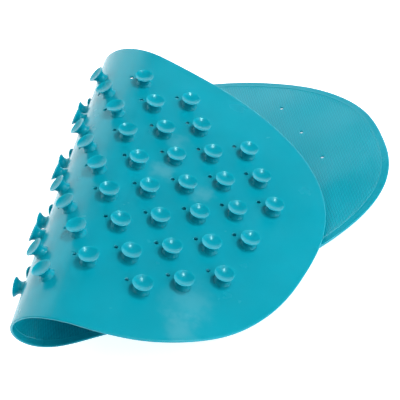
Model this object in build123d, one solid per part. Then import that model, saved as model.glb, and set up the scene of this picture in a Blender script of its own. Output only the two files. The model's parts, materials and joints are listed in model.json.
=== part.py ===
from build123d import *

import os
from math import asin, atan, cos, dist, floor, pi, radians, sin

# Moulded rubber bath mat with suction cups, folded over on itself. Millimetres, +Z up.
# The lower leaf lies flat on its cups, the fold runs along Y at the -X side, and the
# flap comes back over the lower leaf with its own cups facing up.

# Sheet and cup layout
ROW = 28.0                      # spacing of the transverse rows; cups in a row are 2 * ROW apart
SHEET = 2.4                     # sheet thickness
HALF_LENGTH = 12.0 * ROW
HALF_WIDTH = 6.75 * ROW
CORNER_POWER = 2.5              # superellipse power of the outline: 2 would be an ellipse
TAPER = 0.12                    # the flap end is this share wider than the middle
CENTRE_ROW = -2.8               # middle of the mat, in rows from the row numbered 0

# Rows of cups: one stands at each (row, column) whose sum is odd, inside this field
FIELD_ROW = -2.5
FIELD_ROWS = 11.0
FIELD_COLUMNS = 5.7
FIELD_LIMIT = 0.87
FIRST_ROW = -10
LAST_ROW = 7
END_ROW_START = (-10.9, -2.97)  # the last row of the lower leaf is a slanted row of three
END_ROW_STEP = (-0.42, 1.72)
END_ROW_CUPS = 3
END_ROW_CLEAR = 1.0             # no other cup stands within this many rows of the end row's

# Suction cup and the drain hole beside it
CUP_HEIGHT = 10.4
LIP_RADIUS = 9.9
NECK_RADIUS = 6.2
NECK_HEIGHT = 4.2
FOOT_RADIUS = 7.6
FOOT_HEIGHT = 0.8
BOWL_DEPTH = 2.5
LIP_EDGE = 0.6                  # flat width and height of the lip's rim
PRESSED = 0.5                   # the first fold strip's cups are pressed shorter by the floor
DRAIN_RADIUS = 1.9
DRAIN_OFFSET = (-0.6, -0.1)     # from the cup, in rows and columns

# Fold: strips between two lines of cups, each an arc with its own turn
FOLD_ANGLE = atan(1 / 3)        # between the fold's straight lines and the rows
FOLD_START = -14 / 3 * ROW      # where the fold begins on the mat's centre line
STRIP = 2 / 3 * cos(FOLD_ANGLE) * ROW
STRIP_TURNS = [8, 23, 30, 28, 24, 21, 21, 20, 14, 12]
FLAP = len(STRIP_TURNS) + 1     # number of the flap, after the lower leaf (0) and the strips
REACH = 30 * ROW                # longer than any piece
OUTLINE_POINTS = 48


def fold_coordinates(row, column):
    """Distance u across the fold and w along it, of a point given in rows and columns."""
    along = row * ROW - FOLD_START
    across = column * ROW
    u = along * cos(FOLD_ANGLE) - across * sin(FOLD_ANGLE)
    w = -along * sin(FOLD_ANGLE) - across * cos(FOLD_ANGLE)
    return u, w


def piece_at(u):
    """0 on the lower leaf, 1 and up on the fold strips, FLAP on the flap."""
    return min(max(floor(u / STRIP) + 1, 0), FLAP)


def station(u):
    """Middle of the sheet at u: x, z, and the angle turned since the lower leaf."""
    x, z, angle = 0.0, 0.0, 0.0
    if u <= 0:
        return -u, z, angle
    for number, turn in enumerate(STRIP_TURNS):
        step = min(u - number * STRIP, STRIP)
        if step <= 0:
            return x, z, angle
        bend = radians(turn) * step / STRIP
        chord = step * sin(bend / 2) / (bend / 2)
        x -= chord * cos(angle + bend / 2)
        z += chord * sin(angle + bend / 2)
        angle += bend
    rest = u - len(STRIP_TURNS) * STRIP
    if rest > 0:
        x -= rest * cos(angle)
        z += rest * sin(angle)
    return x, z, angle


def surface_point(u, height):
    """Point on the profile, height towards the cups from the middle of the sheet."""
    x, z, angle = station(u)
    return x - height * sin(angle), 0, z - height * cos(angle)


def sheet_plane(u, w):
    """Plane on the middle of the sheet: x across the fold, y along it, z towards the cups."""
    x, z, angle = station(u)
    return Plane(
        origin=(x, w, z),
        x_dir=(-cos(angle), 0, sin(angle)),
        z_dir=(-sin(angle), 0, -cos(angle)),
    )


def outline():
    """Edge of the mat as (u, w) points: a superellipse that widens to the flap end."""
    points = []
    for step in range(OUTLINE_POINTS):
        turn = 2 * pi * step / OUTLINE_POINTS
        reach = abs(cos(turn) / HALF_LENGTH) ** CORNER_POWER
        reach += abs(sin(turn) / HALF_WIDTH) ** CORNER_POWER
        radius = reach ** (-1 / CORNER_POWER)
        along = radius * cos(turn)
        across = radius * sin(turn) * (1 + TAPER * along / HALF_LENGTH)
        points.append(fold_coordinates(CENTRE_ROW + along / ROW, across / ROW))
    return points


def outline_prism(u):
    """The mat's outline as a short prism square to the sheet at u."""
    points = [(point[0] - u, point[1]) for point in outline()]
    face = make_face(Spline(*points, periodic=True))
    return extrude(sheet_plane(u, 0) * face, amount=ROW, both=True)


def strip_ends(piece):
    if piece == 0:
        return -REACH, 0
    if piece == FLAP:
        return (FLAP - 1) * STRIP, REACH
    return (piece - 1) * STRIP, piece * STRIP


def profile_face(piece):
    """Section of one piece of sheet: an arc band in the fold, a rectangle in the leaves."""
    start, end = strip_ends(piece)
    middle = (start + end) / 2
    sides = []
    for height in (SHEET / 2, -SHEET / 2):
        first, mid, last = [surface_point(u, height) for u in (start, middle, end)]
        curved = 0 < piece < FLAP
        sides.append(ThreePointArc(first, mid, last) if curved else Line(first, last))
    ends = [Line(sides[0] @ at, sides[1] @ at) for at in (0, 1)]
    return make_face(sides + ends)


def sheet_piece(piece, drains):
    """One piece of the sheet, cut to the mat's outline, with its drain holes."""
    start, end = strip_ends(piece)
    middle = (start + end) / 2 if 0 < piece < FLAP else max(start, 0)
    body = extrude(profile_face(piece), amount=REACH, dir=(0, 1, 0), both=True)
    body = body & outline_prism(middle)
    for u, w in drains:
        if piece_at(u) == piece:
            body -= sheet_plane(u, w) * Cylinder(DRAIN_RADIUS, 3 * SHEET)
    return body


def suction_cup(height, root):
    """Round foot, neck and flared lip around a shallow bowl; root reaches into the sheet."""
    foot = [(0, -root), (FOOT_RADIUS, -root), (FOOT_RADIUS, FOOT_HEIGHT)]
    neck = (NECK_RADIUS, NECK_HEIGHT)
    mouth = LIP_RADIUS - LIP_EDGE
    rim = [(LIP_RADIUS, height - LIP_EDGE), (LIP_RADIUS, height), (mouth, height)]
    ball = (mouth**2 + BOWL_DEPTH**2) / (2 * BOWL_DEPTH)
    half_way = asin(mouth / ball) / 2
    bowl = (ball * sin(half_way), height - BOWL_DEPTH + ball * (1 - cos(half_way)))
    edges = [
        Polyline(*foot),
        Spline(foot[-1], neck, rim[0], tangents=[(-0.6, 1), (1, 0.9)]),
        Polyline(*rim),
        ThreePointArc(rim[-1], bowl, (0, height - BOWL_DEPTH)),
        Line((0, height - BOWL_DEPTH), foot[0]),
    ]
    section = Plane.XZ * make_face(edges)
    return revolve(section, Axis.Z)


def lattice_sites():
    """Rows and columns of the regular field of cups."""
    sites = []
    for row in range(FIRST_ROW, LAST_ROW + 1):
        for column in range(-6, 7):
            along = abs((row - FIELD_ROW) / FIELD_ROWS)
            across = abs(column / FIELD_COLUMNS)
            inside = along**2.5 + across**2.5 <= FIELD_LIMIT
            if (row + column) % 2 == 1 and inside:
                sites.append((row, column))
    return sites


def end_row_sites():
    """Rows and columns of the slanted row at the lower leaf's free end."""
    sites = []
    for number in range(END_ROW_CUPS):
        row = END_ROW_START[0] + number * END_ROW_STEP[0]
        column = END_ROW_START[1] + number * END_ROW_STEP[1]
        sites.append((row, column))
    return sites


def cup_sites():
    """Rows and columns of every cup."""
    sites = end_row_sites()
    for site in lattice_sites():
        gap = min(dist(site, end) for end in end_row_sites())
        if gap > END_ROW_CLEAR:
            sites.append(site)
    return sites


def drain_sites():
    """Each cup's drain hole, as (u, w)."""
    return [
        fold_coordinates(row + DRAIN_OFFSET[0], column + DRAIN_OFFSET[1])
        for row, column in cup_sites()
    ]


def cup_group(piece, sheet):
    """Every cup whose foot is on this piece of sheet, trimmed to the sheet's face."""
    curved = 0 < piece < FLAP
    height = CUP_HEIGHT - PRESSED if piece == 1 else CUP_HEIGHT
    cup = suction_cup(height, SHEET / 2 if curved else 0)
    cups = []
    for row, column in cup_sites():
        u, w = fold_coordinates(row, column)
        if piece_at(u) != piece:
            continue
        placed = sheet_plane(u, w) * Pos(0, 0, SHEET / 2) * cup
        cups.append(placed - sheet if curved else placed)
    return cups


def piece_name(piece):
    if piece == 0:
        return "lower_leaf"
    if piece == FLAP:
        return "flap"
    return f"fold_{piece:02d}"


def build():
    """Every node by name, as a list of solids, before the frame is moved."""
    drains = drain_sites()
    nodes = {}
    for piece in range(FLAP + 1):
        sheet = sheet_piece(piece, drains)
        nodes[piece_name(piece) + "_sheet"] = sheet.solids()
        cups = cup_group(piece, sheet)
        nodes[piece_name(piece) + "_cups"] = [solid for cup in cups for solid in cup.solids()]
    return nodes


def frame_shift(nodes):
    """Move that puts the origin under the middle of the object, on the floor."""
    box = Compound(children=[solid for solids in nodes.values() for solid in solids]).bounding_box()
    middle = box.center()
    return Pos(-round(middle.X, 1), -round(middle.Y, 1), SHEET / 2 + CUP_HEIGHT)


def main():
    nodes = build()
    shift = frame_shift(nodes)
    os.makedirs("parts", exist_ok=True)
    for name, solids in nodes.items():
        moved = Compound(children=[shift * solid for solid in solids])
        export_step(moved, os.path.join("parts", name + ".step"))


if __name__ == "__main__":
    main()
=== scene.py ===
import json
from math import asin, atan, cos, dist, floor, pi, radians, sin

import bpy
import numpy as np
from mathutils import Matrix, Vector
from mathutils.geometry import delaunay_2d_cdt


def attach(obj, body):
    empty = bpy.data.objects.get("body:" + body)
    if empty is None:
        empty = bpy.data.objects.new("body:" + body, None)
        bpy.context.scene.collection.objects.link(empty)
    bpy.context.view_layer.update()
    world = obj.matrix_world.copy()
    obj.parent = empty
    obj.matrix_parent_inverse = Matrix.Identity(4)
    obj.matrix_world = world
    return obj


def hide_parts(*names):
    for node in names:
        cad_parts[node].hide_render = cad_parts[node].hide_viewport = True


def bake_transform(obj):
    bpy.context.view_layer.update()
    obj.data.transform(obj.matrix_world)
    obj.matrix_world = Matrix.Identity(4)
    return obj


# The moulded rubber bath mat, folded over: a continuous sheet with a rounded edge, a thin
# raised border and drain holes, and ninety-one suction cups. The sheet is laid out flat in
# millimetres, (u, w) across and along the fold, and then wrapped onto the folded profile.

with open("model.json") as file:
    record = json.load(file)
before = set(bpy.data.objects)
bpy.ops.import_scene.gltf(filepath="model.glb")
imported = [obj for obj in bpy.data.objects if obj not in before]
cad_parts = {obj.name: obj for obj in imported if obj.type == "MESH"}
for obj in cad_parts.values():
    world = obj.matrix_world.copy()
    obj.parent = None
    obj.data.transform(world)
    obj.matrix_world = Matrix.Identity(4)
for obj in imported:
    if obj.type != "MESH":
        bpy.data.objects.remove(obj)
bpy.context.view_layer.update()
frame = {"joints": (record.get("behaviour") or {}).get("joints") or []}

# Sheet and cup layout, as in the CAD part, in millimetres
ROW = 28.0
SHEET = 2.4
HALF_LENGTH = 12.0 * ROW
HALF_WIDTH = 6.75 * ROW
CORNER_POWER = 2.5
TAPER = 0.12
CENTRE_ROW = -2.8
FIELD_ROW = -2.5
FIELD_ROWS = 11.0
FIELD_COLUMNS = 5.7
FIELD_LIMIT = 0.87
FIRST_ROW = -10
LAST_ROW = 7
END_ROW_START = (-10.9, -2.97)
END_ROW_STEP = (-0.42, 1.72)
END_ROW_CUPS = 3
END_ROW_CLEAR = 1.0
CUP_HEIGHT = 10.4
LIP_RADIUS = 9.9
BOWL_DEPTH = 2.5
PRESSED = 0.5
DRAIN_RADIUS = 1.9
DRAIN_OFFSET = (-0.6, -0.1)
FOLD_ANGLE = atan(1 / 3)
FOLD_START = -14 / 3 * ROW
STRIP = 2 / 3 * cos(FOLD_ANGLE) * ROW
STRIP_TURNS = [8, 23, 30, 28, 24, 21, 21, 20, 14, 12]
FLAP = len(STRIP_TURNS) + 1

# Detail that only the visual model has, in millimetres
EDGE_POINTS = 840
EDGE_ROWS = 7                   # rows of faces around the rounded outer edge
EDGE_LOOPS = [1.2, 3.2, 5.2]    # insets of the closed lines that follow the edge
BORDER_INSET = 7.6              # middle of the raised border line on the top face
BORDER_WIDTH = 0.75
BORDER_RISE = 0.4
DRAIN_ROUNDING = 0.5
DRAIN_LOOPS = [0, 0.15, DRAIN_ROUNDING]
DRAIN_SIDES = 20
CUT_OVERSHOOT = 5.0             # how far the cuts between pieces run past the edge
FIELD_STEP = 6.0                # size of the sheet's triangles
FIELD_MARGIN = 3.0              # space between those triangles and the border line
DRAIN_MARGIN = 1.6
FOLD_STEP = STRIP / 8
WAVE_RISE = 0.35                # slow waviness of the moulded sheet
WAVES = 6
WAVE_LENGTHS = (70, 150)
CUP_SIDES = 56
CUP_FOOT = 2.0                  # below this height a cup keeps its shape when it is pressed
CUP_SIDE = [                    # radius and height of the outer side, from the foot's fillet up
    (8.3, -0.35), (7.95, 0.05), (7.7, 0.4), (7.5, 0.8), (7.2, 1.3),
    (6.8, 1.9), (6.45, 2.6), (6.2, 3.4), (6.1, 4.2), (6.15, 5.0),
    (6.4, 5.9), (6.9, 6.8), (7.6, 7.7), (8.45, 8.6), (9.25, 9.35),
]
LIP_WALL = 0.35                 # from the lip's outer edge to the bowl
BOWL_ROWS = 12
BOWL_DIMPLE = 0.035             # a tiny dip in the middle of the bowl, where its mesh closes
FLARE_START = 3.0               # a cup's lean and oval grow from this height up
STIFF_FROM = 0.8                # up to here a cup's foot follows the bent sheet,
STIFF_TO = 3.0                  # and from here up it stands straight
LEAN = 0.004
MOST_LEAN = 0.006
OVAL = 0.05
MOST_OVAL = 0.1
SEED = 5

# Rubber
DARK_RUBBER = (0.0005, 0.262, 0.345)
LIGHT_RUBBER = (0.0008, 0.292, 0.385)
# Painted reflection: pale sheen spots mixed into the sheet's colour, standing in for the soft light
# reflected off the sheet between the cups
PAINTED_SHEEN_COLOUR = (0.35, 0.62, 0.66, 1)
PAINTED_SHEEN_SPOTS = [               # row, column, size in metres, strength
    (2.9, -1.3, 0.018, 0.13),
    (4.5, -1.1, 0.016, 0.11),
    (2.6, -2.9, 0.015, 0.07),
    (6.5, 3.5, 0.034, 0.10),
    (6.8, 4.6, 0.024, 0.10),
]
PAINTED_SHEEN_RAGGED = 0.03             # metres
GRAIN_PITCH = 0.0026            # metres
GRAIN_LENGTH = 0.0052
GRAIN_DEPTH = 0.00007
# painted shade: how much darker the colour gets between the ridges of the grained face, and lighter on
# them
GRAIN_PAINTED_SHADE = 0.16
PORE_DEPTH = 0.00002

# Strengths of the plain studio light, and where the key light is
BACKDROP_LIGHT = 1.8
CEILING_LIGHT = 0.12
GLOW_LIGHT = 2.5
FLOOR_GLOW = 0.76
KEY_POWER = 15
KEY_WAY = (0.50, 0.10, 0.86)
KEY_DISTANCE = 1.8
KEY_SIZE = (0.5, 0.2)

# Camera, in metres and degrees, about the profile's own origin
CAMERA_TARGET = (0.0975, -0.0486, 0.0400)
CAMERA_AZIMUTH = 17.80
CAMERA_ELEVATION = 41.68
CAMERA_ROLL = -12.82
CAMERA_DISTANCE = 1.1833
CAMERA_LENS = 106.5


# Layout

def body_name(number):
    if number == 0:
        return "lower_leaf"
    if number == FLAP:
        return "flap"
    return f"fold_{number:02d}"


def fold_coordinates(row, column):
    """Distance u across the fold and w along it, of a point given in rows and columns."""
    along = row * ROW - FOLD_START
    across = column * ROW
    u = along * cos(FOLD_ANGLE) - across * sin(FOLD_ANGLE)
    w = -along * sin(FOLD_ANGLE) - across * cos(FOLD_ANGLE)
    return u, w


def mat_coordinates(u, w):
    """The reverse of fold_coordinates, in millimetres along and across the mat."""
    along = u * cos(FOLD_ANGLE) - w * sin(FOLD_ANGLE)
    across = -u * sin(FOLD_ANGLE) - w * cos(FOLD_ANGLE)
    return along, across


def body_at(u):
    return min(max(floor(u / STRIP) + 1, 0), FLAP)


def cup_sites():
    """Rows and columns of every cup."""
    ends = []
    for number in range(END_ROW_CUPS):
        row = END_ROW_START[0] + number * END_ROW_STEP[0]
        column = END_ROW_START[1] + number * END_ROW_STEP[1]
        ends.append((row, column))
    sites = list(ends)
    for row in range(FIRST_ROW, LAST_ROW + 1):
        for column in range(-6, 7):
            along = abs((row - FIELD_ROW) / FIELD_ROWS)
            across = abs(column / FIELD_COLUMNS)
            inside = along**2.5 + across**2.5 <= FIELD_LIMIT
            clear = min(dist((row, column), end) for end in ends) > END_ROW_CLEAR
            if (row + column) % 2 == 1 and inside and clear:
                sites.append((row, column))
    return sites


# Folded profile

def frame_shift():
    """Where the profile's own origin is in the row frame, in millimetres."""
    hinge = [j for j in frame["joints"] if j["name"] == "bend_01"][0]["pos_m"]
    return hinge[0] * 1000, hinge[1] * 1000, hinge[2] * 1000 + SHEET / 2


def profile(u):
    """Middle of the sheet at each u: x, z, and the angle turned since the lower leaf."""
    u = np.asarray(u, float)
    x = np.where(u <= 0, -u, 0.0)
    z = np.zeros_like(u)
    angle = np.zeros_like(u)
    for number, turn in enumerate(STRIP_TURNS):
        step = np.clip(u - number * STRIP, 0, STRIP)
        bend = radians(turn) * step / STRIP
        chord = step * np.sinc(bend / 2 / pi)
        x -= chord * np.cos(angle + bend / 2)
        z += chord * np.sin(angle + bend / 2)
        angle += bend
    rest = np.clip(u - len(STRIP_TURNS) * STRIP, 0, None)
    x -= rest * np.cos(angle)
    z += rest * np.sin(angle)
    return x, z, angle


def wrap(u, w, height):
    """Points in the row frame, in metres; height is towards the cups."""
    x, z, angle = profile(u)
    shift = frame_shift()
    points = np.stack([x - height * np.sin(angle), np.asarray(w, float), z - height * np.cos(angle)], 1)
    return (points + np.array(shift)) / 1000


# Sheet

def outline(inset):
    """The mat's edge, moved inwards by inset, as (u, w) points, with outward directions."""
    turn = 2 * pi * np.arange(EDGE_POINTS) / EDGE_POINTS
    reach = np.abs(np.cos(turn) / HALF_LENGTH) ** CORNER_POWER
    reach += np.abs(np.sin(turn) / HALF_WIDTH) ** CORNER_POWER
    radius = reach ** (-1 / CORNER_POWER)
    along = radius * np.cos(turn)
    across = radius * np.sin(turn) * (1 + TAPER * along / HALF_LENGTH)
    u, w = fold_coordinates(CENTRE_ROW + along / ROW, across / ROW)
    edge = np.stack([u, w], 1)
    tangent = np.roll(edge, -1, 0) - np.roll(edge, 1, 0)
    out = np.stack([-tangent[:, 1], tangent[:, 0]], 1)
    out /= np.linalg.norm(out, axis=1)[:, None]
    out *= np.sign(np.sum(out * (edge - edge.mean(0))))
    return edge - inset * out, out


def edge_distance(points, edge):
    """Distance of each point to the edge polyline, and the outward direction there."""
    best = np.full(len(points), 1e9)
    nearest = np.zeros((len(points), 2))
    start, end = edge, np.roll(edge, -1, 0)
    side = end - start
    length = np.sum(side**2, 1)
    for first in range(0, len(points), 500):
        block = slice(first, first + 500)
        part = points[block]
        share = np.einsum("pic,ic->pi", part[:, None] - start[None], side) / length
        spot = start[None] + np.clip(share, 0, 1)[..., None] * side[None]
        gap = np.linalg.norm(part[:, None] - spot, axis=2)
        pick = gap.argmin(1)
        rows = np.arange(len(part))
        best[block] = gap[rows, pick]
        nearest[block] = spot[rows, pick]
    out = nearest - points
    out /= np.maximum(np.linalg.norm(out, axis=1), 1e-9)[:, None]
    return best, out


def within(points, edge, out):
    """Which points are inside the edge, given the direction to the nearest spot on it."""
    from_middle = points - edge.mean(0)
    near_middle = np.linalg.norm(from_middle, axis=1) < HALF_WIDTH / 2
    return near_middle | (np.sum(out * from_middle, 1) > 0)


def field_columns(low, high):
    """Distances across the fold of the sheet's inner lines: close together in the bend."""
    first = -STRIP / 2 - FOLD_STEP
    last = (FLAP - 0.5) * STRIP
    columns = list(np.arange(first, low, -FIELD_STEP)[1:])
    columns += list(np.arange(first, last + 1.5 * FOLD_STEP, FOLD_STEP))
    columns += list(np.arange(last + FOLD_STEP + FIELD_STEP, high, FIELD_STEP))
    return columns


def field_points(edge, drains):
    """Inner points of the sheet, staggered, clear of the border line and the drain holes."""
    low, high = edge.min(0), edge.max(0)
    rows = np.arange(low[1], high[1], FIELD_STEP)
    grid = []
    for number, u in enumerate(field_columns(low[0], high[0])):
        offset = FIELD_STEP / 2 * (number % 2)
        grid += [(u, w + offset) for w in rows]
    grid = np.array(grid)
    near = np.linalg.norm((grid - edge.mean(0)) / ((high - low) / 2), axis=1) < 1.3
    grid = grid[near]
    distance, out = edge_distance(grid, edge)
    keep = within(grid, edge, out) & (distance > BORDER_INSET + FIELD_MARGIN)
    for drain in drains:
        keep &= np.linalg.norm(grid - np.array(drain), axis=1) > DRAIN_RADIUS + DRAIN_MARGIN
    return grid[keep]


def cut_lines(edge):
    """Straight cuts at the middle of each strip, where the visual pieces meet."""
    lines = []
    for number in range(FLAP + 1):
        u = (number - 0.5) * STRIP
        start, end = edge[:, 1].min() - CUT_OVERSHOOT, edge[:, 1].max() + CUT_OVERSHOOT
        lines.append(((u, start), (u, end)))
    return lines


def triangulate(edge, drains):
    """Flat triangles, with sides along the edge, the border, the drain holes and the cuts."""
    points, sides = [], []

    def add_loop(loop):
        first = len(points)
        points.extend([tuple(p) for p in loop])
        count = len(loop)
        sides.extend([(first + i, first + (i + 1) % count) for i in range(count)])

    border = [BORDER_INSET + share * BORDER_WIDTH for share in (-1, -0.5, 0, 0.5, 1)]
    for inset in EDGE_LOOPS + border:
        add_loop(outline(inset)[0])
    for drain in drains:
        for reach in DRAIN_LOOPS:
            turns = 2 * pi * np.arange(DRAIN_SIDES) / DRAIN_SIDES
            ring = np.stack([np.cos(turns), np.sin(turns)], 1) * (DRAIN_RADIUS + reach)
            add_loop(ring + np.array(drain))
    for line in cut_lines(edge):
        first = len(points)
        points.extend(line)
        sides.append((first, first + 1))
    points.extend([tuple(p) for p in field_points(edge, drains)])
    result = delaunay_2d_cdt([Vector(p) for p in points], sides, [], 0, 1e-4)
    flat = np.array([tuple(v) for v in result[0]])
    faces = np.array(result[2])
    return flat, faces


def keep_rubber(flat, faces, edge, drains):
    """Drops the triangles outside the edge and inside the drain holes."""
    centre = flat[faces].mean(1)
    distance, out = edge_distance(centre, edge)
    keep = within(centre, edge, out) & (distance > EDGE_LOOPS[0] * 0.98)
    for drain in drains:
        keep &= np.linalg.norm(centre - np.array(drain), axis=1) > DRAIN_RADIUS
    faces = faces[keep]
    corner = flat[faces]
    first, second = corner[:, 1] - corner[:, 0], corner[:, 2] - corner[:, 0]
    turned = first[:, 0] * second[:, 1] - first[:, 1] * second[:, 0] < 0
    faces[turned] = faces[turned][:, ::-1]
    used = np.unique(faces)
    number = np.full(len(flat), -1)
    number[used] = np.arange(len(used))
    return flat[used], number[faces]


def waviness(flat):
    """Slow, small rise and fall of the moulded sheet, the same on both faces."""
    along, across = mat_coordinates(flat[:, 0], flat[:, 1])
    rng = np.random.default_rng(SEED)
    rise = np.zeros(len(flat))
    for _ in range(WAVES):
        heading = rng.uniform(0, 2 * pi)
        length = rng.uniform(*WAVE_LENGTHS)
        phase = rng.uniform(0, 2 * pi)
        rise += np.sin(2 * pi * (along * cos(heading) + across * sin(heading)) / length + phase)
    return WAVE_RISE * rise / 2.5


def rounding(flat, drains):
    """How far each face is cut back at the rounded rims of the drain holes."""
    gap = np.full(len(flat), 1e9)
    for drain in drains:
        gap = np.minimum(gap, np.linalg.norm(flat - np.array(drain), axis=1))
    share = np.clip((DRAIN_RADIUS + DRAIN_ROUNDING - gap) / DRAIN_ROUNDING, 0, 1)
    return DRAIN_ROUNDING * (1 - np.sqrt(np.clip(1 - share**2, 0, 1)))


def border_rise(distance):
    share = np.clip(1 - np.abs(distance - BORDER_INSET) / BORDER_WIDTH, 0, 1)
    return BORDER_RISE * share * share * (3 - 2 * share)


def open_edges(faces):
    """Edges used by one triangle only, in that triangle's direction."""
    pairs = np.concatenate([faces[:, [0, 1]], faces[:, [1, 2]], faces[:, [2, 0]]])
    known = {(a, b) for a, b in pairs.tolist()}
    return [(a, b) for a, b in known if (b, a) not in known]


def wall_points(spot, out, wave, at_edge):
    """Points from the top face to the cup side: a half round at the edge, straight in a hole."""
    rows = EDGE_ROWS if at_edge else 2
    half = SHEET / 2
    points = []
    for step in range(1, rows):
        turn = pi * step / rows
        reach = half * sin(turn) if at_edge else 0
        depth = -half * cos(turn) if at_edge else 0
        points.append((spot[0] + out[0] * reach, spot[1] + out[1] * reach, wave + depth))
    return points


def sheet_walls(flat, faces, distance, out, wave):
    """Points and faces that join the sheet's two sides at its edge and in its drain holes."""
    count = len(flat)
    points, polygons, columns = [], [], {}
    for a, b in open_edges(faces):
        at_edge = distance[a] < SHEET and distance[b] < SHEET
        for v in (a, b):
            if v in columns:
                continue
            first = 2 * count + len(points)
            points += wall_points(flat[v], out[v], wave[v], at_edge)
            columns[v] = [v, *range(first, 2 * count + len(points)), v + count]
        for k in range(len(columns[a]) - 1):
            polygons.append([columns[a][k], columns[b][k], columns[b][k + 1], columns[a][k + 1]])
    return np.array(points), polygons


def sheet_geometry():
    """Flat positions, heights, faces and face zones (1 is grained) of the whole sheet."""
    drains = []
    for row, column in cup_sites():
        drains.append(fold_coordinates(row + DRAIN_OFFSET[0], column + DRAIN_OFFSET[1]))
    edge = outline(0)[0]
    flat, faces = triangulate(edge, drains)
    flat, faces = keep_rubber(flat, faces, edge, drains)
    distance, out = edge_distance(flat, edge)
    wave = waviness(flat)
    cut = rounding(flat, drains)
    top = wave - SHEET / 2 + cut - border_rise(distance)
    under = wave + SHEET / 2 - cut
    grained = distance[faces].mean(1) > BORDER_INSET + BORDER_WIDTH
    polygons = [list(f[::-1]) for f in faces] + [list(f + len(flat)) for f in faces]
    walls, wall_polygons = sheet_walls(flat, faces, distance, out, wave)
    zones = [int(g) for g in grained] + [0] * (len(faces) + len(wall_polygons))
    u = np.concatenate([flat[:, 0], flat[:, 0], walls[:, 0]])
    w = np.concatenate([flat[:, 1], flat[:, 1], walls[:, 1]])
    height = np.concatenate([top, under, walls[:, 2]])
    return u, w, height, polygons + wall_polygons, zones


def vertex_normals(points, polygons):
    """Smooth normals of the whole sheet, so that its pieces meet without a visible seam."""
    normals = np.zeros_like(points)
    for sides in (3, 4):
        group = np.array([p for p in polygons if len(p) == sides])
        if not len(group):
            continue
        diagonal = points[group[:, 2]] - points[group[:, 0]]
        other = points[group[:, -1]] - points[group[:, 1]]
        if sides == 3:
            other = points[group[:, 1]] - points[group[:, 0]]
            face = np.cross(other, diagonal)
        else:
            face = np.cross(diagonal, other)
        for corner in range(sides):
            np.add.at(normals, group[:, corner], face)
    length = np.linalg.norm(normals, axis=1)
    return normals / np.maximum(length, 1e-15)[:, None]


def build_mesh(name, points, polygons, zones, normals, layout, materials):
    """A mesh object with smooth normals and a flat map of the mat, in metres, as its UVs."""
    used = sorted({v for p in polygons for v in p})
    number = {v: i for i, v in enumerate(used)}
    mesh = bpy.data.meshes.new(name)
    faces = [[number[v] for v in polygon] for polygon in polygons]
    mesh.from_pydata([tuple(points[v]) for v in used], [], faces)
    for material in materials:
        mesh.materials.append(material)
    mesh.polygons.foreach_set("material_index", zones)
    mesh.polygons.foreach_set("use_smooth", [True] * len(polygons))
    uv = mesh.uv_layers.new(name="mat")
    corners = [v for p in polygons for v in p]
    uv.data.foreach_set("uv", layout[corners].astype(np.float32).ravel())
    mesh.update()
    mesh.normals_split_custom_set_from_vertices([tuple(normals[v]) for v in used])
    obj = bpy.data.objects.new(name, mesh)
    bpy.context.scene.collection.objects.link(obj)
    return obj


def sheet_pieces(materials):
    """The sheet as a leaf at each end, riding on its body, and a piece across every joint, shaped to
    the fold.
    """
    u, w, height, polygons, zones = sheet_geometry()
    points = wrap(u, w, height)
    normals = vertex_normals(points, polygons)
    along, across = mat_coordinates(u, w)
    layout = np.stack([along, across], 1) / 1000
    middle = np.array([np.mean(u[p]) for p in polygons])
    piece = np.clip(np.floor(middle / STRIP + 0.5).astype(int) + 1, 0, FLAP + 1)
    for number in range(FLAP + 2):
        pick = np.flatnonzero(piece == number)
        if number == 0:
            name = "lower_leaf_rubber"
        elif number == FLAP + 1:
            name = "flap_rubber"
        else:
            name = f"bend_{number:02d}_rubber"
        obj = build_mesh(
            name, points, [polygons[i] for i in pick], [zones[i] for i in pick],
            normals, layout, materials,
        )
        if number in (0, FLAP + 1):
            body = body_name(0 if number == 0 else FLAP)
            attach(obj, body)
            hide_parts(body + "_sheet")
            continue
        ends = wrap(np.array([number - 1.5, number - 0.5]) * STRIP, [0, 0], np.zeros(2))
        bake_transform(obj)
        if number < FLAP:
            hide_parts(body_name(number) + "_sheet")


# Suction cups

def cup_profile(height):
    """Radius and height above the sheet, from the foot's fillet to the middle of the bowl."""
    squeeze = (height - CUP_FOOT) / (CUP_HEIGHT - CUP_FOOT)
    line = [(r, h if h < CUP_FOOT else CUP_FOOT + (h - CUP_FOOT) * squeeze) for r, h in CUP_SIDE]
    line += [(LIP_RADIUS - 0.06, height - 0.35), (LIP_RADIUS, height - 0.18)]
    line += [(LIP_RADIUS - 0.06, height - 0.04), (LIP_RADIUS - 0.2, height)]
    mouth = LIP_RADIUS - LIP_WALL
    line.append((mouth, height - 0.08))
    bowl = (mouth**2 + BOWL_DEPTH**2) / (2 * BOWL_DEPTH)
    wide = asin(mouth / bowl)
    for step in range(1, BOWL_ROWS + 1):
        turn = wide * (1 - step / (BOWL_ROWS + 1))
        line.append((bowl * sin(turn), height - BOWL_DEPTH + bowl * (1 - cos(turn))))
    return line


def stand(u, w, across, along, up):
    """Points of a cup that stands straight up from the sheet at (u, w), in metres."""
    x, z, angle = [float(v) for v in profile(u)]
    side = np.array([-cos(angle), 0, sin(angle)])
    axis = np.array([-sin(angle), 0, -cos(angle)])
    points = np.array([x, w, z]) + np.array(frame_shift()) + across[:, None] * side
    points = points + along[:, None] * np.array([0, 1, 0]) + (SHEET / 2 + up)[:, None] * axis
    return points / 1000


def cup_faces(rings):
    """Faces between the rings of a cup, and a fan from the last one to a point after it."""
    faces = []
    for ring in range(rings - 1):
        for k in range(CUP_SIDES):
            a = ring * CUP_SIDES + k
            b = ring * CUP_SIDES + (k + 1) % CUP_SIDES
            faces.append([a, a + CUP_SIDES, b + CUP_SIDES, b])
    last = (rings - 1) * CUP_SIDES
    for k in range(CUP_SIDES):
        faces.append([last + k, rings * CUP_SIDES, last + (k + 1) % CUP_SIDES])
    return faces


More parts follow.
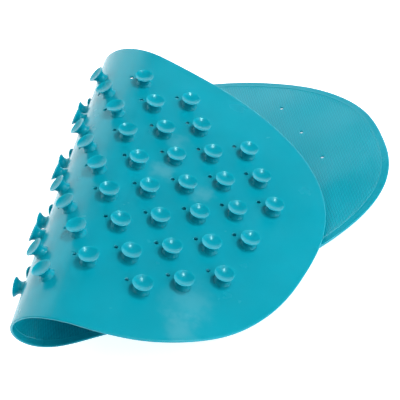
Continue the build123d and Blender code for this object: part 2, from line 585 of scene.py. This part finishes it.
def cup_mesh(row, column, rng, height):
    """Points and faces of one cup, its foot following the sheet and its lip a little uneven."""
    u, w = fold_coordinates(row, column)
    on_floor = body_at(u) < 2
    turns = 2 * pi * np.arange(CUP_SIDES) / CUP_SIDES
    lean = np.clip(rng.normal(0, LEAN, 2), -MOST_LEAN, MOST_LEAN) * (0 if on_floor else 1)
    oval = np.clip(rng.normal(0, OVAL), -MOST_OVAL, MOST_OVAL)
    heading = rng.uniform(0, pi)
    rings = []
    for radius, rise in cup_profile(height):
        share = max(rise - FLARE_START, 0) / (height - FLARE_START)
        reach = radius + oval * share * np.cos(2 * (turns - heading))
        across, along = reach * np.cos(turns), reach * np.sin(turns)
        up = rise + share * (lean[0] * across + lean[1] * along)
        bent = wrap(u + across, w + along, SHEET / 2 + up)
        straight = stand(u, w, across, along, up)
        stiff = min(max((rise - STIFF_FROM) / (STIFF_TO - STIFF_FROM), 0), 1)
        rings.append(bent * (1 - stiff) + straight * stiff)
    middle = stand(u, w, np.zeros(1), np.zeros(1), np.array([height - BOWL_DEPTH - BOWL_DIMPLE]))
    return np.vstack(rings + [middle]), cup_faces(len(rings))


def cup_objects(material):
    """All the cups of each body, as one piece that rides on it."""
    rng = np.random.default_rng(SEED)
    groups = {number: [] for number in range(FLAP + 1)}
    for row, column in cup_sites():
        number = body_at(fold_coordinates(row, column)[0])
        height = CUP_HEIGHT - PRESSED if number == 1 else CUP_HEIGHT
        groups[number].append(cup_mesh(row, column, rng, height))
    for number, cups in groups.items():
        points, faces = [], []
        for one_points, one_faces in cups:
            first = sum(len(p) for p in points)
            points.append(one_points)
            faces += [[first + v for v in face] for face in one_faces]
        name = body_name(number) + "_suction_cups"
        mesh = bpy.data.meshes.new(name)
        mesh.from_pydata([tuple(p) for p in np.concatenate(points)], [], faces)
        mesh.polygons.foreach_set("use_smooth", [True] * len(faces))
        mesh.materials.append(material)
        mesh.update()
        obj = bpy.data.objects.new(name, mesh)
        bpy.context.scene.collection.objects.link(obj)
        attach(obj, body_name(number))
        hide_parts(body_name(number) + "_cups")


# Materials

def node(tree, kind, **settings):
    made = tree.nodes.new(kind)
    for key, value in settings.items():
        setattr(made, key, value)
    return made


def math_node(tree, operation, first, second=None):
    made = node(tree, "ShaderNodeMath", operation=operation)
    for socket, value in zip(made.inputs, (first, second)):
        if value is None:
            continue
        if isinstance(value, (int, float)):
            socket.default_value = value
        else:
            tree.links.new(value, socket)
    return made.outputs[0]


def noise(tree, vector, scale, detail=3.0):
    made = node(tree, "ShaderNodeTexNoise")
    made.inputs["Scale"].default_value = scale
    made.inputs["Detail"].default_value = detail
    tree.links.new(vector, made.inputs["Vector"])
    return made.outputs["Fac"]


def bump(tree, height, distance, strength=1.0, normal=None):
    made = node(tree, "ShaderNodeBump")
    made.inputs["Distance"].default_value = distance
    made.inputs["Strength"].default_value = strength
    tree.links.new(height, made.inputs["Height"])
    if normal is not None:
        tree.links.new(normal, made.inputs["Normal"])
    return made.outputs["Normal"]


def ramp(tree, value, low, high, dark, light):
    """A colour that goes from dark to light as value goes from low to high."""
    made = node(tree, "ShaderNodeValToRGB")
    made.color_ramp.elements[0].position = low
    made.color_ramp.elements[1].position = high
    made.color_ramp.elements[0].color = (*dark, 1)
    made.color_ramp.elements[1].color = (*light, 1)
    tree.links.new(value, made.inputs["Fac"])
    return made.outputs["Color"]


def spread(tree, value, low, high):
    """value, from 0 to 1, spread from low to high."""
    made = node(tree, "ShaderNodeMapRange")
    made.inputs["From Min"].default_value = 0.3
    made.inputs["From Max"].default_value = 0.7
    made.inputs["To Min"].default_value = low
    made.inputs["To Max"].default_value = high
    tree.links.new(value, made.inputs["Value"])
    return made.outputs[0]


def smooth_step(tree, value, start, end, amount):
    """amount where value is past end, nothing before start, smooth between."""
    made = node(tree, "ShaderNodeMapRange", interpolation_type="SMOOTHSTEP")
    made.inputs["From Min"].default_value = start
    made.inputs["From Max"].default_value = end
    made.inputs["To Min"].default_value = 0.0
    made.inputs["To Max"].default_value = amount
    tree.links.new(value, made.inputs["Value"])
    return made.outputs[0]


def grain_height(tree, uv):
    """Short staggered ridges, like a coarse weave, moulded into the top face: from -1 to 1."""
    parts = node(tree, "ShaderNodeSeparateXYZ")
    tree.links.new(uv, parts.inputs[0])
    sway = math_node(tree, "MULTIPLY", noise(tree, uv, 60.0, 2.0), 5.0)
    along = math_node(tree, "MULTIPLY", parts.outputs[0], 2 * pi / GRAIN_PITCH)
    along = math_node(tree, "ADD", along, sway)
    across = math_node(tree, "MULTIPLY", parts.outputs[1], 2 * pi / GRAIN_LENGTH)
    ridges = math_node(tree, "SINE", along)
    stagger = math_node(tree, "ADD", across, math_node(tree, "MULTIPLY", along, 0.5))
    breaks = math_node(tree, "MULTIPLY", math_node(tree, "SINE", stagger), 0.5)
    return math_node(tree, "MULTIPLY", ridges, math_node(tree, "ADD", breaks, 0.5))


def painted_sheen_amount(tree, uv):
    """Painted reflection, pale sheen spots on the rubber: their strength in the middle, 0 outside."""
    total = None
    ragged = math_node(tree, "MULTIPLY", noise(tree, uv, 70.0, 4.0), PAINTED_SHEEN_RAGGED)
    for row, column, size, amount in PAINTED_SHEEN_SPOTS:
        away = node(tree, "ShaderNodeVectorMath", operation="DISTANCE")
        along, across = row * ROW - FOLD_START, column * ROW
        away.inputs[1].default_value = (along / 1000, across / 1000, 0)
        tree.links.new(uv, away.inputs[0])
        gap = math_node(tree, "ADD", away.outputs["Value"], ragged)
        middle = PAINTED_SHEEN_RAGGED / 2
        patch = smooth_step(tree, gap, middle + size, middle, amount)
        total = patch if total is None else math_node(tree, "ADD", total, patch)
    return total


# Mixes the painted reflection's pale colour into the rubber's colour
def add_painted_sheen(tree, colour, uv):
    mix = node(tree, "ShaderNodeMix", data_type="RGBA")
    tree.links.new(painted_sheen_amount(tree, uv), mix.inputs["Factor"])
    tree.links.new(colour, mix.inputs["A"])
    mix.inputs["B"].default_value = PAINTED_SHEEN_COLOUR
    return mix.outputs["Result"]


def paint_grain_shade(tree, colour, ridges):
    """Painted shade: the colour a little darker between the ridges, and a little lighter on them, where
    light falls.
    """
    mix = node(tree, "ShaderNodeMix", data_type="RGBA", blend_type="MULTIPLY")
    mix.inputs["Factor"].default_value = 1.0
    tree.links.new(colour, mix.inputs["A"])
    shade = math_node(tree, "ADD", math_node(tree, "MULTIPLY", ridges, GRAIN_PAINTED_SHADE), 1.04)
    tree.links.new(shade, mix.inputs["B"])
    return mix.outputs["Result"]


def rubber(name, rough_low, rough_high, shine, painted_sheen=False, grain_and_painted_shade=False):
    """Moulded rubber: slight colour drift, uneven gloss, pores, and if asked, painted reflection spots
    or grained ridges with painted shade between them.
    """
    material = bpy.data.materials.new(name)
    material.use_nodes = True
    tree = material.node_tree
    shader = tree.nodes["Principled BSDF"]
    place = node(tree, "ShaderNodeTexCoord")
    spot, uv = place.outputs["Object"], place.outputs["UV"]
    colour = ramp(tree, noise(tree, spot, 14.0, 4.0), 0.3, 0.7, DARK_RUBBER, LIGHT_RUBBER)
    normal = bump(tree, noise(tree, spot, 900.0, 2.0), PORE_DEPTH, 0.5)
    # painted reflection: pale sheen spots in the colour
    if painted_sheen:
        colour = add_painted_sheen(tree, colour, uv)
    if grain_and_painted_shade:
        ridges = grain_height(tree, uv)
        # painted shade between the ridges, lighter on their tops
        colour = paint_grain_shade(tree, colour, ridges)
        normal = bump(tree, ridges, GRAIN_DEPTH, 1.0, normal)
    gloss = spread(tree, noise(tree, spot, 38.0, 5.0), rough_low, rough_high)
    tree.links.new(colour, shader.inputs["Base Color"])
    tree.links.new(gloss, shader.inputs["Roughness"])
    tree.links.new(normal, shader.inputs["Normal"])
    shader.inputs["IOR"].default_value = 1.5
    shader.inputs["Specular IOR Level"].default_value = shine
    shader.inputs["Specular Tint"].default_value = (0.6, 1.0, 1.0, 1)
    shader.inputs["Subsurface Weight"].default_value = 0.35
    shader.inputs["Subsurface Radius"].default_value = (0.3, 1.0, 1.0)
    shader.inputs["Subsurface Scale"].default_value = 0.004
    return material


# Floor, light and camera

def plain_floor():
    bpy.ops.mesh.primitive_plane_add(size=12)
    floor_plane = bpy.context.object
    floor_plane.name = "studio_floor"
    material = bpy.data.materials.new("pale_floor")
    material.use_nodes = True
    shader = material.node_tree.nodes["Principled BSDF"]
    shader.inputs["Base Color"].default_value = (0.92, 0.92, 0.92, 1)
    shader.inputs["Roughness"].default_value = 0.9
    shader.inputs["Emission Color"].default_value = (1, 1, 1, 1)
    shader.inputs["Emission Strength"].default_value = FLOOR_GLOW
    floor_plane.data.materials.append(material)


def facing(tree, direction, way):
    """How far a direction points the given way, from -1 to 1."""
    made = node(tree, "ShaderNodeVectorMath", operation="DOT_PRODUCT")
    made.inputs[1].default_value = Vector(way).normalized()
    tree.links.new(direction, made.inputs[0])
    return made.outputs["Value"]


def studio_surroundings():
    """A white backdrop behind, higher on the left, a dim room, and a broad glow on the right."""
    world = bpy.data.worlds.new("studio")
    world.use_nodes = True
    tree = world.node_tree
    place = node(tree, "ShaderNodeTexCoord").outputs["Generated"]
    above, behind = facing(tree, place, (0.40, 0.0, 1.0)), facing(tree, place, (-0.3, 0.95, 0.0))
    below_edge = smooth_step(tree, above, 0.545, 0.52, BACKDROP_LIGHT)
    backdrop = math_node(tree, "MULTIPLY", below_edge, smooth_step(tree, behind, -0.5, 0.2, 1.0))
    right = facing(tree, place, (0.75, -0.28, 0.60))
    glow = smooth_step(tree, right, 0.70, 1.0, GLOW_LIGHT)
    total = math_node(tree, "ADD", math_node(tree, "ADD", backdrop, glow), CEILING_LIGHT)
    tree.links.new(total, tree.nodes["Background"].inputs["Strength"])
    tree.nodes["Background"].inputs["Color"].default_value = (1, 1, 1, 1)
    bpy.context.scene.world = world


def softbox(name, direction, distance, width, height, power):
    """A rectangular light at a distance along direction, facing the object."""
    light = bpy.data.lights.new(name, "AREA")
    light.shape = "RECTANGLE"
    light.size = width
    light.size_y = height
    light.energy = power
    obj = bpy.data.objects.new(name, light)
    bpy.context.scene.collection.objects.link(obj)
    way = Vector(direction).normalized()
    obj.location = way * distance
    obj.rotation_euler = way.to_track_quat("Z", "Y").to_euler()


def camera():
    """The photograph's view: above the near right, rolled a little, with a long lens."""
    shift = Vector(frame_shift()) / 1000
    target = Vector(CAMERA_TARGET) + shift
    azimuth, elevation = radians(CAMERA_AZIMUTH), radians(CAMERA_ELEVATION)
    roll = radians(CAMERA_ROLL)
    back = Vector((sin(azimuth) * cos(elevation), -cos(azimuth) * cos(elevation), sin(elevation)))
    level = Vector((cos(azimuth), sin(azimuth), 0))
    right = level * cos(roll) + back.cross(level) * sin(roll)
    up = back.cross(right)
    data = bpy.data.cameras.new("camera")
    data.sensor_width = 36
    data.lens = CAMERA_LENS
    data.clip_start = 0.01
    obj = bpy.data.objects.new("camera", data)
    bpy.context.scene.collection.objects.link(obj)
    turn = Matrix((right, up, back)).transposed().to_4x4()
    obj.matrix_world = Matrix.Translation(target + back * CAMERA_DISTANCE) @ turn
    bpy.context.scene.camera = obj


def main():
    # the smooth rubber carries the painted reflection spots
    smooth = rubber("rubber_smooth", 0.20, 0.28, 0.32, painted_sheen=True)
    # the grained rubber carries painted shade between its ridges
    grained = rubber("rubber_grained", 0.16, 0.26, 0.40, grain_and_painted_shade=True)
    cups = rubber("rubber_cups", 0.16, 0.22, 0.22)
    sheet_pieces([smooth, grained])
    cup_objects(cups)
    plain_floor()
    studio_surroundings()
    softbox("key", KEY_WAY, KEY_DISTANCE, *KEY_SIZE, KEY_POWER)
    camera()
    bpy.context.scene.view_settings.view_transform = "Standard"


main()
